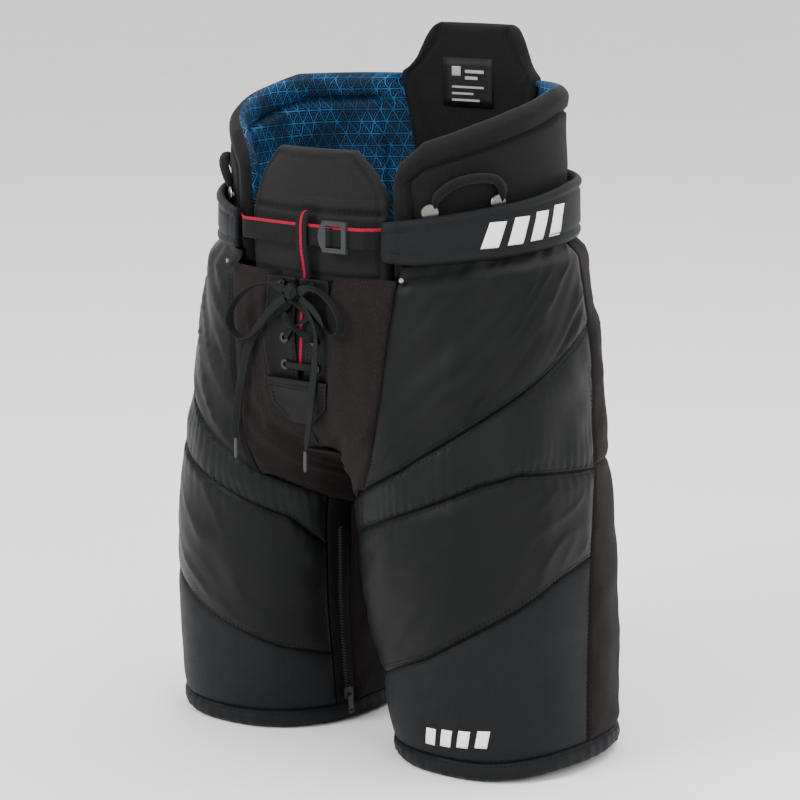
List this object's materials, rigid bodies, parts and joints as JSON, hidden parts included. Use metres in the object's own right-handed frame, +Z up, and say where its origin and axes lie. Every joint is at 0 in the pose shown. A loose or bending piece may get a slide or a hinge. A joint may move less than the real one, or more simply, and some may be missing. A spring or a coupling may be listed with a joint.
{
  "type": "hockey pants",
  "caption": "Padded ice hockey pants with laced fly, belt, belly pad, hip pads and spine guard, standing on their hems; legs swing at the hips.",
  "frame": {"origin": "centre of the ground between the two leg openings, on the plane that the hems stand on", "axes": "+Z up, -Y towards the front (the fly), +X towards the wearer's left"},
  "size_m": [0.4356, 0.2853, 0.638],
  "materials": {
    "nylon_shell": "woven nylon, slight sheen",
    "stretch_knit": "brown-black stretch knit",
    "pad_cover": "matte knit over foam",
    "mesh_cloth": "coated diamond mesh",
    "webbing": "woven webbing with a red stripe",
    "lace": "flat braided lace",
    "aglet_plastic": "pressed plastic",
    "grey_plastic": "moulded, fine texture",
    "pad_plastic": "moulded polyethylene",
    "bright_metal": "nickel plated",
    "eyelet_metal": "dark plated eyelet",
    "label_cloth": "printed satin label",
    "foam": "closed-cell foam in a cover",
    "zip_tape_cloth": "woven zip tape",
    "zip_metal": "painted zinc"
  },
  "bodies": {
    "hips": {"left_hip_panel": "nylon_shell", "right_hip_panel": "nylon_shell", "left_seat_panel": "stretch_knit", "right_seat_panel": "stretch_knit", "left_front_gusset": "stretch_knit", "right_front_gusset": "stretch_knit", "left_fly_placket": "nylon_shell", "right_fly_placket": "nylon_shell", "fly_base": "nylon_shell", "fly_tongue": "pad_cover", "crotch_gusset": "stretch_knit", "eyelets": "eyelet_metal", "lace_lacing": "lace", "lace_knot": "lace", "lace_loop_left": "lace", "lace_loop_right": "lace", "lace_tail_left": "lace", "lace_tail_right": "lace", "aglet_left": "aglet_plastic", "aglet_right": "aglet_plastic", "belly_pad": "pad_cover", "centre_strap": "webbing", "belt_webbing": "webbing", "waist_casing": "pad_cover", "left_hip_pad": "pad_cover", "right_hip_pad": "pad_cover", "left_hip_plate": "pad_plastic", "right_hip_plate": "pad_plastic", "spine_guard": "pad_cover", "spine_plate": "pad_plastic", "tailbone_pad": "pad_cover", "left_hip_band": "mesh_cloth", "right_hip_band": "mesh_cloth", "suspender_loops": "webbing", "suspender_buttons": "bright_metal", "band_rivets": "bright_metal", "care_label": "label_cloth"},
    "left_leg": {"left_thigh_yoke": "nylon_shell", "left_gather_band": "nylon_shell", "left_thigh_panel": "nylon_shell", "left_lower_panel": "mesh_cloth", "left_hem_band": "mesh_cloth", "left_back_panel": "stretch_knit", "left_inner_panel": "stretch_knit", "left_thigh_cap": "pad_plastic", "left_thigh_pad": "foam", "left_zip_tape": "zip_tape_cloth"},
    "right_leg": {"right_thigh_yoke": "nylon_shell", "right_gather_band": "nylon_shell", "right_thigh_panel": "nylon_shell", "right_lower_panel": "mesh_cloth", "right_hem_band": "mesh_cloth", "right_back_panel": "stretch_knit", "right_inner_panel": "stretch_knit", "right_thigh_cap": "pad_plastic", "right_thigh_pad": "foam", "right_zip_tape": "zip_tape_cloth"},
    "left_zip_runner": {"left_zip_slider": "zip_metal"},
    "right_zip_runner": {"right_zip_slider": "zip_metal"},
    "belt_buckle": {"buckle": "grey_plastic"}
  },
  "joints": [
    {"name": "left_leg_swing", "type": "hinge", "parent": "hips", "child": "left_leg", "pos_m": [0.1, 0, 0.262], "axis": [-1, 0, 0], "range_deg": [-10, 18]},
    {"name": "right_leg_swing", "type": "hinge", "parent": "hips", "child": "right_leg", "pos_m": [-0.1, 0, 0.262], "axis": [-1, 0, 0], "range_deg": [-10, 18]},
    {"name": "left_zip_slide", "type": "slide", "parent": "left_leg", "child": "left_zip_runner", "axis": [-0.1162, -0.2099, 0.9708], "range_m": [0, 0.16]},
    {"name": "right_zip_slide", "type": "slide", "parent": "right_leg", "child": "right_zip_runner", "axis": [0.1162, -0.2099, 0.9708], "range_m": [0, 0.16]},
    {"name": "buckle_slide", "type": "slide", "parent": "hips", "child": "belt_buckle", "axis": [1, 0, 0], "range_m": [-0.01, 0.006]}
  ]
}
